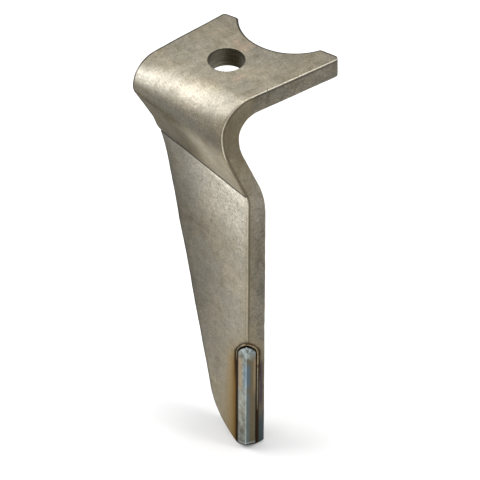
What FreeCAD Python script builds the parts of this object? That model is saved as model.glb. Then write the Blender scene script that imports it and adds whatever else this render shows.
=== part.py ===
import FreeCAD, Part
import math
import os

# Power harrow tine, millimetres, +Z up.
# The origin is the centre of the bolt hole on the upper, mating face of the flange.
# X runs from the bend towards the notched end and Y runs across the flange.
# The blade hangs down along -Z, with its leading edge on the -Y side.

# Flange
flange_thickness = 12.6
bolt_hole_diameter = 21.0
lead_side_offset = 36.0
trail_side_offset = 33.7
trail_side_angle = 6.2
end_distance = 35.5
end_skew = 22.2
end_corner_radius = 2.6
horn_radius = 1.6
notch_centre_x = 53.3
notch_centre_y = 8.6
notch_radius = 32.2

# Upper bend and neck in the section at the leading side
lead_bend_start = -8.5
lead_bend_radius = 20.2
lead_sweep_radius = 52.0
lead_neck_slant = 21.8
lead_fade_radius = 26.0
lead_fade_turn = 16.0
lead_bend_thickness = 12.2
lead_inner_radius = 13.0
lead_inner_sweep = 38.4

# Upper bend and neck in the section at the shoulder
shoulder_bend_start = -31.1
shoulder_bend_radius = 16.1
shoulder_sweep_radius = 4.5
shoulder_neck_slant = 28.4
shoulder_fade_radius = 90.0
shoulder_fade_turn = 12.0
shoulder_bend_thickness = 17.0
shoulder_inner_radius = 8.0
shoulder_inner_sweep = 6.0

# Blade
blade_thickness = 13.1
blade_lean = 1.23
blade_twist = 6.0
blade_setback = 10.6
crease_radius = 3.0
knee_radius = 57.0
shoulder_reach = 39.4
flare_drop = 42.0
flare_height = 25.0
flare_pull = 10.0
overall_drop = 261.0
heel_width = 20.1
heel_rise = 11.2
heel_radius = 42.0
tip_inset = 9.9
tip_radius = 4.0
nose_angle = 20.0

# Carbide insert, brazed into an arch-topped pocket in the leading corner
insert_width = 7.6
insert_depth = 6.6
insert_top_drop = 181.0
insert_face_arch = 10.0
insert_edge_arch = 8.0
insert_stand = 0.4
insert_ridge_radius = 0.8
braze_gap = 0.5

# Bevel that breaks the forged edges
edge_bevel = 0.6

# How far the cutting shapes run past the steel
margin = 20.0
# Turn between two faces from which their edge counts as sharp
sharp_turn = 40.0
# Short step used to tell the steel from the open side of an edge
probe = 0.2


def vec(x, y, z):
    return FreeCAD.Vector(x, y, z)


def tangent(angle):
    return math.tan(math.radians(angle))


def heading(angle):
    """Unit vector in the XY plane, turned by an angle from +X towards +Y."""
    return vec(math.cos(math.radians(angle)), math.sin(math.radians(angle)), 0)


def turned(angle):
    """Unit vector in the XZ plane, turned by an angle from +X towards +Z."""
    return vec(math.cos(math.radians(angle)), 0, math.sin(math.radians(angle)))


def arc(centre, radius, start, end):
    """Arc round a centre in an XZ plane between two angles."""
    points = [centre + turned(a) * radius for a in (start, (start + end) / 2, end)]
    return Part.Arc(*points).toShape()


def fillet_arc(corner, before, after, radius):
    """Start, middle and end of an arc that rounds a corner between two directions."""
    half = before.getAngle(after) / 2
    reach = radius / math.tan(half)
    bisector = (before + after).normalize()
    middle = corner + bisector * (radius / math.sin(half) - radius)
    return corner + before * reach, middle, corner + after * reach


def on_blade(face_x, y, z):
    """Point of a blade face; face_x is its X at the level of the flange."""
    return vec(face_x + z * tangent(blade_lean), y, z)


def meet(point, slant, face_x):
    """Where a neck line of the given slant, through a point, meets a blade face."""
    z = (point.x + point.z * tangent(slant) - face_x) / (tangent(blade_lean) + tangent(slant))
    return on_blade(face_x, point.y, z)


def crease_arcs(neck_top, slant, face_x, fade_radius, fade_turn):
    """Wide arc up from the blade's face and a tight one on to the neck line, smooth throughout."""
    foot = on_blade(face_x, neck_top.y, 0)
    fade_centre = foot + turned(180 - blade_lean) * fade_radius
    joint = fade_centre + turned(fade_turn - blade_lean) * fade_radius
    crease_centre = joint + turned(180 + fade_turn - blade_lean) * crease_radius
    top = crease_centre + turned(slant) * crease_radius
    miss = (neck_top - top).dot(turned(slant))
    slide = turned(90 - blade_lean) * (miss / math.sin(math.radians(slant + blade_lean)))
    fade = arc(fade_centre + slide, fade_radius, -blade_lean, fade_turn - blade_lean)
    crease = arc(crease_centre + slide, crease_radius, fade_turn - blade_lean, slant)
    return fade, crease, foot + slide, top + slide


def bar_section(y, start, radius, sweep, slant, fade_radius, fade_turn,
                thick, inner_radius, inner_sweep, face_x):
    """Closed S-shaped section below the flange: upper bend, slanted neck, crease and blade."""
    low_z = -overall_drop - margin

    # outer side: bend, sweep into the neck, crease, blade
    bend = arc(vec(start, y, -radius), radius, 90, 180)
    side_x = start - radius
    swing = arc(vec(side_x + sweep, y, -radius), sweep, 180, 180 + slant)
    neck_top = swing.lastVertex().Point
    fade, crease, blade_top, crease_top = crease_arcs(neck_top, slant, face_x, fade_radius, fade_turn)
    foot = on_blade(face_x, y, low_z)

    # inner side: bend, sweep into the neck, rounded knee, blade
    inner_x = side_x + thick
    inner_z = -flange_thickness - inner_radius
    inner_bend = arc(vec(inner_x + inner_radius, y, inner_z), inner_radius, 90, 180)
    inner_swing = arc(vec(inner_x + inner_sweep, y, inner_z), inner_sweep, 180, 180 + slant)
    inner_neck = inner_swing.lastVertex().Point
    knee = meet(inner_neck, slant, face_x + blade_thickness)
    inner_foot = on_blade(face_x + blade_thickness, y, low_z)
    up_neck = turned(90 + slant)
    down_blade = turned(270 - blade_lean)
    knee_start, knee_middle, knee_end = fillet_arc(knee, up_neck, down_blade, knee_radius)

    edges = [
        bend,
        swing,
        Part.makeLine(neck_top, crease_top),
        crease,
        fade,
        Part.makeLine(blade_top, foot),
        Part.makeLine(foot, inner_foot),
        Part.makeLine(inner_foot, knee_end),
        Part.Arc(knee_end, knee_middle, knee_start).toShape(),
        Part.makeLine(knee_start, inner_neck),
        inner_swing,
        inner_bend,
        Part.makeLine(vec(inner_x + inner_radius, y, -flange_thickness), vec(start, y, 0)),
    ]
    return Part.Wire(Part.__sortEdges__(edges))


def flange_slab():
    """Flat plate of the flange, from the line where the upper bend starts to past its end."""
    end_x = end_distance + lead_side_offset + margin
    corners = [
        vec(lead_bend_start, -lead_side_offset, 0),
        vec(end_x, -lead_side_offset, 0),
        vec(end_x, shoulder_reach, 0),
        vec(shoulder_bend_start, shoulder_reach, 0),
        vec(lead_bend_start, -lead_side_offset, 0),
    ]
    return Part.Face(Part.makePolygon(corners)).extrude(vec(0, 0, -flange_thickness))


def forged_bar():
    """Flange plate and the ruled body between the sections at the leading side and the shoulder."""
    lead_y = -lead_side_offset
    lead_face_x = -blade_setback
    shoulder_face_x = lead_face_x - tangent(blade_twist) * (shoulder_reach - lead_y)
    lead = bar_section(lead_y, lead_bend_start, lead_bend_radius, lead_sweep_radius,
                       lead_neck_slant, lead_fade_radius, lead_fade_turn, lead_bend_thickness,
                       lead_inner_radius, lead_inner_sweep, lead_face_x)
    shoulder = bar_section(shoulder_reach, shoulder_bend_start, shoulder_bend_radius,
                           shoulder_sweep_radius, shoulder_neck_slant, shoulder_fade_radius,
                           shoulder_fade_turn, shoulder_bend_thickness, shoulder_inner_radius,
                           shoulder_inner_sweep, shoulder_face_x)
    bent = Part.makeLoft([lead, shoulder], True, True)
    return bent.fuse(flange_slab()).removeSplitter()


def trailing_edge():
    """Edges of the trailing outline in the YZ plane, flange side, flare, taper and heel to the nose."""
    lead_y = -lead_side_offset
    tip = vec(0, lead_y + tip_inset, -overall_drop)
    heel = tip + vec(0, heel_width, heel_rise)
    nose_run = tip_inset + margin
    nose = tip + vec(0, -nose_run, nose_run * tangent(nose_angle))
    flare_top = vec(0, trail_side_offset, -flare_drop)
    shoulder = vec(0, shoulder_reach, -flare_drop - flare_height)
    taper = (heel - shoulder).normalize()
    to_tip = (tip - heel).normalize()
    to_nose = (nose - tip).normalize()
    flare = Part.BezierCurve()
    flare.setPoles([
        flare_top,
        flare_top - vec(0, 0, flare_pull),
        shoulder - taper * flare_pull,
        shoulder,
    ])
    heel_start, heel_middle, heel_end = fillet_arc(heel, taper * -1, to_tip, heel_radius)
    tip_start, tip_middle, tip_end = fillet_arc(tip, to_tip * -1, to_nose, tip_radius)
    return [
        Part.makeLine(vec(0, trail_side_offset, margin), flare_top),
        flare.toShape(),
        Part.makeLine(shoulder, heel_start),
        Part.Arc(heel_start, heel_middle, heel_end).toShape(),
        Part.makeLine(heel_end, tip_start),
        Part.Arc(tip_start, tip_middle, tip_end).toShape(),
        Part.makeLine(tip_end, nose),
    ]


def side_blank():
    """Block with the tine's outline seen across the plate, flange side down to the tip."""
    edges = trailing_edge()
    top = edges[0].firstVertex().Point
    nose = edges[-1].lastVertex().Point
    corner = vec(0, nose.y, margin)
    edges += [Part.makeLine(nose, corner), Part.makeLine(corner, top)]
    across = heading(trail_side_angle)
    reach = end_distance + lead_side_offset + 2 * margin
    outline = Part.Face(Part.Wire(edges))
    outline.translate(across * -reach)
    return outline.extrude(across * 2 * reach)


def end_cut():
    """Everything beyond the skewed, notched end of the flange, with rounded corners."""
    along = heading(end_skew)
    side = heading(end_skew - 90)
    reach = lead_side_offset + trail_side_offset
    centre = along * end_distance
    points = [
        centre + side * reach,
        centre - side * reach,
        centre - side * reach + along * reach,
        centre + side * reach + along * reach,
        centre + side * reach,
    ]
    beyond = Part.Face(Part.makePolygon(points))
    beyond.translate(vec(0, 0, -flange_thickness - margin))
    cut = beyond.extrude(vec(0, 0, flange_thickness + 2 * margin))
    notch = Part.makeCylinder(notch_radius, flange_thickness + 2 * margin,
                              vec(notch_centre_x, notch_centre_y, -flange_thickness - margin))
    return cut.fuse(notch)


def sharp_edges(solid):
    """Outward edges of a solid where its faces turn sharply; the crease is inward."""
    found = []
    for edge in solid.Edges:
        faces = solid.ancestorsOfType(edge, Part.Face)
        if len(faces) != 2:
            continue
        middle = edge.valueAt((edge.FirstParameter + edge.LastParameter) / 2)
        normals = [face.normalAt(*face.Surface.parameter(middle)) for face in faces]
        if math.degrees(normals[0].getAngle(normals[1])) < sharp_turn:
            continue
        beside = middle + (normals[0] - normals[1]).normalize() * probe
        if not solid.isInside(beside, probe / 100, False):
            found.append(edge)
    return found


def end_corners(solid, at_notch):
    """Upright edges at the flange's end: the two horns of the notch, or the outer corners."""
    notch_centre = vec(notch_centre_x, notch_centre_y, 0)
    found = []
    for edge in sharp_edges(solid):
        foot = edge.valueAt(edge.FirstParameter)
        run = edge.valueAt(edge.LastParameter) - foot
        if abs(run.x) + abs(run.y) > probe or foot.z < -flange_thickness - probe:
            continue
        on_notch = abs(vec(foot.x, foot.y, 0).distanceToPoint(notch_centre) - notch_radius) < probe
        if on_notch == at_notch:
            found.append(edge)
    return found


def bolt_hole():
    """Cutter for the bolt hole, run past both faces of the flange."""
    depth = flange_thickness + 2 * margin
    return Part.makeCylinder(bolt_hole_diameter / 2, depth, vec(0, 0, margin - depth))


def arch_outline(ridge, side, down, width, arch, stand, length):
    """Outline of the insert on one face: quarter sine wave down from the ridge, straight side."""
    top = ridge - side * stand
    shoulder = ridge + side * width + down * arch
    wave = Part.BezierCurve()
    wave.setPoles([
        ridge,
        ridge + side * width * math.pi / 6 + down * arch / 3,
        shoulder - down * arch / 3,
        shoulder,
    ])
    low_side = ridge + side * width + down * length
    low_ridge = top + down * length
    edges = [
        Part.makeLine(top, ridge),
        wave.toShape(),
        Part.makeLine(shoulder, low_side),
        Part.makeLine(low_side, low_ridge),
        Part.makeLine(low_ridge, top),
    ]
    return Part.Face(Part.Wire(edges))


def corner_bar(gap, stand):
    """Round-topped bar in the leading corner, grown by a gap and standing proud of both faces."""
    across_face = heading(90 + blade_twist)
    across_edge = vec(1, 0, 0)
    down = vec(-tangent(blade_lean), 0, -1)
    ridge = on_blade(-blade_setback, -lead_side_offset, gap - insert_top_drop)
    length = overall_drop - insert_top_drop + margin
    width = insert_width + gap
    depth = insert_depth + gap
    face_view = arch_outline(ridge, across_face, down, width, insert_face_arch, stand, length)
    edge_view = arch_outline(ridge, across_edge, down, depth, insert_edge_arch, stand, length)
    face_view.translate(across_edge * -stand)
    edge_view.translate(across_face * -stand)
    face_prism = face_view.extrude(across_edge * (depth + stand))
    edge_prism = edge_view.extrude(across_face * (width + stand))
    return face_prism.common(edge_prism)


def ridge_edges(solid):
    """The long outer corner of the insert."""
    found = []
    for edge in sharp_edges(solid):
        middle = edge.valueAt((edge.FirstParameter + edge.LastParameter) / 2)
        ridge = on_blade(-blade_setback, -lead_side_offset, middle.z)
        is_long = edge.BoundBox.ZLength > insert_edge_arch
        if is_long and middle.distanceToPoint(ridge) < insert_depth / 2:
            found.append(edge)
    return found


def forged_blank():
    """The forging before the insert's pocket: trimmed, drilled and with bevelled edges."""
    solid = forged_bar().common(side_blank()).cut(end_cut())
    solid = solid.makeFillet(end_corner_radius, end_corners(solid, False))
    solid = solid.makeFillet(horn_radius, end_corners(solid, True))
    solid = solid.makeChamfer(edge_bevel, sharp_edges(solid))
    return solid.cut(bolt_hole())


def carbide_insert():
    """The hard-metal bar, ending flush with the tip and proud of both outer faces."""
    solid = corner_bar(0, insert_stand).common(side_blank())
    return solid.makeFillet(insert_ridge_radius, ridge_edges(solid))


def write_parts(solids):
    os.makedirs("parts", exist_ok=True)
    for name, solid in solids.items():
        solid.exportStep("parts/" + name + ".step")
        print(name, len(solid.Solids), "solid, valid", solid.isValid(), "volume", round(solid.Volume))


forging = forged_blank()
pocket = corner_bar(braze_gap, margin)
filler = pocket.cut(corner_bar(0, margin))
write_parts({
    "tine_body": forging.cut(pocket),
    "carbide_insert": carbide_insert(),
    "braze_seam": forging.common(filler),
})
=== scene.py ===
import math

import bmesh
import bpy
import numpy as np
from mathutils import Matrix, Vector


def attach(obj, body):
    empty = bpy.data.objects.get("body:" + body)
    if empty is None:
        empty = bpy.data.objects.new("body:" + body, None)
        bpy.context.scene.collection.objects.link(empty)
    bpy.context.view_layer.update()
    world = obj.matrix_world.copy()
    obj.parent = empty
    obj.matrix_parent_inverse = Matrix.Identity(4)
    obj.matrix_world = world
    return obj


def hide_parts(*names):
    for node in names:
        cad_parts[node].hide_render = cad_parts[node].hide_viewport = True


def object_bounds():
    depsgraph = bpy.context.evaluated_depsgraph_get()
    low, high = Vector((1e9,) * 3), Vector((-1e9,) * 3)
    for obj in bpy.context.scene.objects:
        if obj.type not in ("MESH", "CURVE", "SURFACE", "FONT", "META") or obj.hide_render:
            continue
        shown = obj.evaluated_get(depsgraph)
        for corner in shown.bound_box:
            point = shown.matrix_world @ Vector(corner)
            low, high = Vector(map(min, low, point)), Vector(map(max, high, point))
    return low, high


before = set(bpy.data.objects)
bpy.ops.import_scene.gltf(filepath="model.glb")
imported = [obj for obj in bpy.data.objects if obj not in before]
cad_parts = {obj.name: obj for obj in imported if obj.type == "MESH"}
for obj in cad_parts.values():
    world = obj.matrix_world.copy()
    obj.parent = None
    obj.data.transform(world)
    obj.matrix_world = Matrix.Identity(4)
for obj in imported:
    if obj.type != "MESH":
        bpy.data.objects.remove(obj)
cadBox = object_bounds()
mm = 0.001
print("frame loaded:", sorted(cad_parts))


# the forging, in millimetres and degrees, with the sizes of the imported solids

forging = {
    "flangeThickness": 12.6,
    "holeRadius": 10.5,
    "leadY": -36.0,
    "trailY": 33.7,
    "trailAngle": 6.2,
    "endDistance": 35.5,
    "endSkew": 22.2,
    "endCornerRadius": 2.6,
    "hornRadius": 1.6,
    "notchCentre": (53.3, 8.6),
    "notchRadius": 32.2,
    "bladeThickness": 13.1,
    "bladeLean": 1.23,
    "bladeTwist": 6.0,
    "bladeSetback": 10.6,
    "creaseRadius": 3.0,
    "kneeRadius": 57.0,
    "shoulderReach": 39.4,
    "flareDrop": 42.0,
    "flareHeight": 25.0,
    "flarePull": 10.0,
    "overallDrop": 261.0,
    "heelWidth": 20.1,
    "heelRise": 11.2,
    "heelRadius": 42.0,
    "tipInset": 9.9,
    "tipRadius": 4.0,
    "noseAngle": 20.0,
    "edgeRadius": 0.75,      # rounding of the forged edges
    "holeEdgeRadius": 0.35,
    "sections": {
        "lead": {"bendStart": -8.5, "bendRadius": 20.2, "sweepRadius": 52.0, "neckSlant": 21.8,
                 "fadeRadius": 26.0, "fadeTurn": 16.0, "bendThickness": 12.2,
                 "innerRadius": 13.0, "innerSweep": 38.4},
        "shoulder": {"bendStart": -31.1, "bendRadius": 16.1, "sweepRadius": 4.5, "neckSlant": 28.4,
                     "fadeRadius": 90.0, "fadeTurn": 12.0, "bendThickness": 17.0,
                     "innerRadius": 8.0, "innerSweep": 6.0},
    },
    # grid: columns across, rows of each stretch from the flange's end to the tip
    "columns": 90,
    "rows": {"flange": 56, "strip": 8, "bend": 38, "sweep": 22, "neck": 32, "crease": 9,
             "fade": 18, "blade": 236},
    "rimRows": 10,
    "arcSteps": 4,
}

trailTan = math.tan(math.radians(forging["trailAngle"]))
leanTan = math.tan(math.radians(forging["bladeLean"]))
twistTan = math.tan(math.radians(forging["bladeTwist"]))


def heading(angle):
    # unit vector in a plane, turned by an angle in degrees from its first axis
    return np.array([math.cos(math.radians(angle)), math.sin(math.radians(angle))])


def arcRun(centre, radius, start, end, count=60):
    # centre plus the radius times (cos, sin) of evenly spaced angles
    angles = np.radians(np.linspace(start, end, count))
    return np.asarray(centre, float) + radius * np.stack([np.cos(angles), np.sin(angles)], 1)


def lineRun(start, end, count=60):
    # straight mix of two points
    t = np.linspace(0, 1, count)[:, None]
    return np.asarray(start, float) * (1 - t) + np.asarray(end, float) * t


def filletRun(corner, before, after, radius, count=40):
    # arc tangent to two directions that leave a corner; its centre lies on their bisector,
    # at the radius over the sine of half the angle between them
    half = math.acos(float(np.clip(before @ after, -1, 1))) / 2
    bisector = (before + after) / np.linalg.norm(before + after)
    centre = corner + bisector * radius / math.sin(half)
    first = corner + before * radius / math.tan(half) - centre
    last = corner + after * radius / math.tan(half) - centre
    start = math.atan2(first[1], first[0])
    turn = math.atan2(last[1], last[0]) - start
    turn = (turn + math.pi) % (2 * math.pi) - math.pi
    angles = start + turn * np.linspace(0, 1, count)
    return centre + radius * np.stack([np.cos(angles), np.sin(angles)], 1)


def lengthAlong(run):
    # distance from the run's first point to each of its points
    steps = np.linalg.norm(np.diff(run, axis=0), axis=1)
    return np.concatenate([[0], np.cumsum(steps)])


def sampleRun(run, fractions):
    # points of a run at given fractions of its length
    along = lengthAlong(run)
    where = np.asarray(fractions) * along[-1]
    return np.stack([np.interp(where, along, run[:, k]) for k in range(run.shape[1])], -1)


def offsetRun(run, distance):
    # each point moved to the left of the way the run goes
    step = np.gradient(run, axis=0)
    step = step / np.linalg.norm(step, axis=1)[:, None]
    return run + distance * np.stack([-step[:, 1], step[:, 0]], 1)


def facePlane(y, z, side):
    # x of the blade's outer face (side 0) or inner face (side 1): a plane that leans and twists
    twisted = -forging["bladeSetback"] - twistTan * (y - forging["leadY"])
    return twisted + z * leanTan + side * forging["bladeThickness"]


def sectionRuns(name):
    # outer and inner runs of one S-section in the XZ plane, in the order from flange to blade
    part = forging["sections"][name]
    y = forging["leadY"] if name == "lead" else forging["shoulderReach"]
    faceX = facePlane(y, 0, 0)
    slant = part["neckSlant"]
    lean = forging["bladeLean"]
    sideX = part["bendStart"] - part["bendRadius"]
    innerX = sideX + part["bendThickness"]
    innerZ = -forging["flangeThickness"] - part["innerRadius"]
    slantTan = math.tan(math.radians(slant))

    bend = arcRun((part["bendStart"], -part["bendRadius"]), part["bendRadius"], 90, 180)
    sweep = arcRun((sideX + part["sweepRadius"], -part["bendRadius"]), part["sweepRadius"],
                   180, 180 + slant)
    # the fade arc rises from the blade's face, the crease arc from the fade to the neck line
    foot = np.array([faceX, 0.0])
    fadeTurn = part["fadeTurn"]
    fadeCentre = foot + heading(180 - lean) * part["fadeRadius"]
    joint = fadeCentre + heading(fadeTurn - lean) * part["fadeRadius"]
    creaseCentre = joint + heading(180 + fadeTurn - lean) * forging["creaseRadius"]
    top = creaseCentre + heading(slant) * forging["creaseRadius"]
    miss = (sweep[-1] - top) @ heading(slant)
    slide = heading(90 - lean) * miss / math.sin(math.radians(slant + lean))
    crease = arcRun(creaseCentre + slide, forging["creaseRadius"], slant, fadeTurn - lean)
    fade = arcRun(fadeCentre + slide, part["fadeRadius"], fadeTurn - lean, -lean)

    innerBend = arcRun((innerX + part["innerRadius"], innerZ), part["innerRadius"], 90, 180)
    innerSweep = arcRun((innerX + part["innerSweep"], innerZ), part["innerSweep"],
                        180, 180 + slant)
    neckEnd = innerSweep[-1]
    kneeFace = faceX + forging["bladeThickness"]
    kneeZ = (neckEnd[0] + neckEnd[1] * slantTan - kneeFace) / (leanTan + slantTan)
    corner = np.array([kneeFace + kneeZ * leanTan, kneeZ])
    knee = filletRun(corner, heading(90 + slant), heading(270 - lean), forging["kneeRadius"])

    strip = lineRun((innerX + part["innerRadius"], 0), (part["bendStart"], 0))
    outer = [[strip, bend, sweep], [lineRun(sweep[-1], crease[0])], [crease, fade]]
    inner = [[innerBend, innerSweep], [lineRun(neckEnd, knee[0])], [knee]]
    return outer, inner


def sectionGrid(name):
    # rows of one section: outer runs by their own row counts, the inner group by the same
    # fractions of its length
    counts = forging["rows"]
    rows = [[counts["strip"], counts["bend"], counts["sweep"]], [counts["neck"]],
            [counts["crease"], counts["fade"]]]
    outerRuns, innerRuns = sectionRuns(name)
    outer = []
    inner = []
    for runs, innerGroup, numbers in zip(outerRuns, innerRuns, rows):
        group = [sampleRun(run, np.linspace(0, 1, number + 1)[:-1])
                 for run, number in zip(runs, numbers)]
        group = np.concatenate(group + [runs[-1][-1:]])
        fractions = lengthAlong(group) / lengthAlong(group)[-1]
        whole = sampleRun(np.concatenate(innerGroup), fractions)
        outer.append(group if not outer else group[1:])
        inner.append(whole if not inner else whole[1:])
    return np.concatenate(outer), np.concatenate(inner)


def sideOutline(inset):
    # trailing outline in the (y, z) plane, from the flange down to the nose, moved inwards
    tip = np.array([forging["leadY"] + forging["tipInset"], -forging["overallDrop"]])
    heel = tip + (forging["heelWidth"], forging["heelRise"])
    noseTan = math.tan(math.radians(forging["noseAngle"]))
    nose = tip + (-3 * forging["tipInset"], 3 * forging["tipInset"] * noseTan)
    flareTop = np.array([forging["trailY"], -forging["flareDrop"]])
    shoulder = np.array([forging["shoulderReach"], -forging["flareDrop"] - forging["flareHeight"]])
    taper = (heel - shoulder) / np.linalg.norm(heel - shoulder)
    toTip = (tip - heel) / np.linalg.norm(tip - heel)
    toNose = (nose - tip) / np.linalg.norm(nose - tip)
    # cubic curve through four control points for the flare
    t = np.linspace(0, 1, 80)[:, None]
    second = flareTop - (0, forging["flarePull"])
    third = shoulder - taper * forging["flarePull"]
    flare = (flareTop * (1 - t) ** 3 + 3 * second * t * (1 - t) ** 2
             + 3 * third * t ** 2 * (1 - t) + shoulder * t ** 3)
    heelArc = filletRun(heel, -taper, toTip, forging["heelRadius"])
    tipArc = filletRun(tip, -toTip, toNose, forging["tipRadius"])
    runs = [lineRun((forging["trailY"], 0), flareTop), flare, lineRun(shoulder, heelArc[0], 200),
            heelArc, lineRun(heelArc[-1], tipArc[0]), tipArc, lineRun(tipArc[-1], nose)]
    whole = np.concatenate([runs[0]] + [run[1:] for run in runs[1:]])
    heelMiddle = len(np.concatenate(runs[:3])) - 3 + len(heelArc) // 2
    even = np.linspace(0, 1, 3000)
    split = lengthAlong(whole)[heelMiddle] / lengthAlong(whole)[-1]
    # the outline goes down with the steel on its right, so inwards is a negative offset
    return offsetRun(sampleRun(whole, even), -inset), int(split * len(even))


def angleOf(way):
    # angle in degrees of a direction in a plane
    return math.degrees(math.atan2(way[1], way[0]))


def flangeOutline(inset):
    # flange outline in the (x, y) plane from the bend along the leading side, round the
    # skewed and notched end, and back along the trailing side; the steel is on its left
    along = heading(forging["endSkew"])
    side = heading(forging["endSkew"] + 90)
    end = forging["endDistance"]
    leadY = forging["leadY"]
    trail = heading(forging["trailAngle"])
    leadCorner = along * end + side * (leadY - along[1] * end) / side[1]
    # on the end line, the point where y is trailY plus x times the trailing side's slope
    gap = forging["trailY"] + trailTan * along[0] * end - along[1] * end
    trailCorner = along * end + side * gap / (side[1] - trailTan * side[0])
    notch = np.array(forging["notchCentre"])
    notchAlong = notch @ along
    notchSide = notch @ side
    # horn circle: touches the end line from inside and the notch circle from outside
    horn = forging["hornRadius"]
    reach = math.sqrt((forging["notchRadius"] + horn) ** 2 - (end - horn - notchAlong) ** 2)
    leadArc = filletRun(leadCorner, np.array([-1.0, 0.0]), side, forging["endCornerRadius"])
    runs = [lineRun((-30, leadY), leadArc[0], 200), leadArc]
    firstHorn = along * (end - horn) + side * (notchSide - reach)
    secondHorn = along * (end - horn) + side * (notchSide + reach)
    firstTouch = (notch - firstHorn) / np.linalg.norm(notch - firstHorn)
    secondTouch = (notch - secondHorn) / np.linalg.norm(notch - secondHorn)
    skew = forging["endSkew"]
    runs.append(lineRun(runs[1][-1], firstHorn + along * horn))
    runs.append(arcRun(firstHorn, horn, skew, angleOf(firstTouch)))
    notchStart = angleOf(-firstTouch)
    notchEnd = angleOf(-secondTouch)
    notchStart += 360 * (notchStart < 0)
    notchEnd += 360 * (notchEnd < 0)
    runs.append(arcRun(notch, forging["notchRadius"], notchStart, notchEnd, 200))
    runs.append(arcRun(secondHorn, horn, angleOf(secondTouch), skew))
    cornerArc = filletRun(trailCorner, -side, -trail, forging["endCornerRadius"])
    runs.append(lineRun(secondHorn + along * horn, cornerArc[0]))
    runs.append(cornerArc)
    runs.append(lineRun(cornerArc[-1], np.array([-60, forging["trailY"] - 60 * trailTan]), 200))
    lengths = np.cumsum([lengthAlong(run)[-1] for run in runs])
    whole = np.concatenate([runs[0]] + [run[1:] for run in runs[1:]])
    firstSplit = (lengths[0] + lengths[1]) / 2 / lengths[-1]
    secondSplit = (lengths[-2] + lengths[-3]) / 2 / lengths[-1]
    count = 4000
    plan = offsetRun(sampleRun(whole, np.linspace(0, 1, count)), inset)
    return plan, int(firstSplit * count), int(secondSplit * count)


def coonsPatch(top, bottom, left, right):
    # point = mix of the left and right edges + mix of the top and bottom edges - mix of corners
    u = np.linspace(0, 1, len(left))[:, None, None]
    v = np.linspace(0, 1, len(top))[None, :, None]
    rows = (1 - v) * left[:, None] + v * right[:, None]
    columns = (1 - u) * top[None] + u * bottom[None]
    corners = ((1 - u) * (1 - v) * top[0] + (1 - u) * v * top[-1]
               + u * (1 - v) * bottom[0] + u * v * bottom[-1])
    return rows + columns - corners


def trailPoint(outline, xOf, guess):
    # y on a ruling where y less the sheared x meets the outline; repeated until it settles
    y = guess
    for _ in range(8):
        x, z = xOf(y)
        y = np.interp(-z, -outline[:, 1], outline[:, 0]) + x * trailTan
    return y


def bladeEdge(run, side):
    # outline points in (y, z) moved by the shear of the trailing side
    y = run[:, 0].copy()
    for _ in range(6):
        y = run[:, 0] + facePlane(y, run[:, 1], side) * trailTan
    return np.stack([y, run[:, 1]], 1)


def skinGrid(side, inset):
    # one skin of the forging as rows from the flange's end to the tip by columns across
    columns = forging["columns"]
    across = np.linspace(0, 1, columns)
    leadY = forging["leadY"] + inset
    lead = sectionGrid("lead")[side]
    shoulder = sectionGrid("shoulder")[side]
    span = forging["shoulderReach"] - forging["leadY"]
    outline, heelIndex = sideOutline(inset)

    # bent stretch: straight rulings between the two sections
    def onRuling(y):
        t = ((y - forging["leadY"]) / span)[:, None]
        point = lead * (1 - t) + shoulder * t
        return point[:, 0], point[:, 1]
    trail = trailPoint(outline[:heelIndex], onRuling, np.full(len(lead), forging["trailY"]))
    y = leadY + (trail - leadY)[:, None] * across[None]
    t = ((y - forging["leadY"]) / span)[..., None]
    bent = lead[:, None] * (1 - t) + shoulder[:, None] * t
    bentGrid = np.stack([bent[..., 0], y, bent[..., 1]], -1)

    # flange: four-sided patch between its end and the first ruling
    plan, firstSplit, secondSplit = flangeOutline(inset)
    startRow = bentGrid[0, :, :2]
    leadEdge = plan[:firstSplit][plan[:firstSplit, 0] > startRow[0, 0]]
    leadEdge = np.concatenate([startRow[:1], leadEdge])[::-1]
    trailEdge = plan[secondSplit:][plan[secondSplit:, 0] > startRow[-1, 0]]
    trailEdge = np.concatenate([trailEdge, startRow[-1:]])
    endEdge = plan[firstSplit - 1:secondSplit + 1]
    fractions = np.linspace(0, 1, forging["rows"]["flange"] + 1)
    patch = coonsPatch(sampleRun(endEdge, across), startRow,
                       sampleRun(leadEdge, fractions), sampleRun(trailEdge, fractions))
    level = -forging["flangeThickness"] * side
    flangeGrid = np.concatenate([patch, np.full(patch.shape[:2] + (1,), level)], -1)[:-1]

    # blade: four-sided patch in (y, z) between the last ruling and the tip's outline
    lastRow = bentGrid[-1][:, 1:]
    bottomRun = bladeEdge(outline, side)
    inside = bottomRun[:, 0] > leadY
    lastInside = len(inside) - np.argmax(inside[::-1]) - 1
    before = bottomRun[lastInside]
    after = bottomRun[min(lastInside + 1, len(bottomRun) - 1)]
    mix = (leadY - before[0]) / (after[0] - before[0])
    corner = before + (after - before) * mix
    bottomEdge = np.concatenate([bottomRun[heelIndex:lastInside + 1], corner[None]])[::-1]
    trailRun = bottomRun[:heelIndex + 1]
    trailRun = trailRun[trailRun[:, 1] < lastRow[-1, 1]]
    trailRun = np.concatenate([lastRow[-1:], trailRun])
    fractions = np.linspace(0, 1, forging["rows"]["blade"] + 1)
    leadRun = lineRun(lastRow[0], corner, forging["rows"]["blade"] + 1)
    patch = coonsPatch(lastRow, sampleRun(bottomEdge, across), leadRun,
                       sampleRun(trailRun, fractions))
    x = facePlane(patch[..., 0], patch[..., 1], side)
    bladeGrid = np.stack([x, patch[..., 0], patch[..., 1]], -1)[1:]
    return np.concatenate([flangeGrid, bentGrid, bladeGrid])


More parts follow.
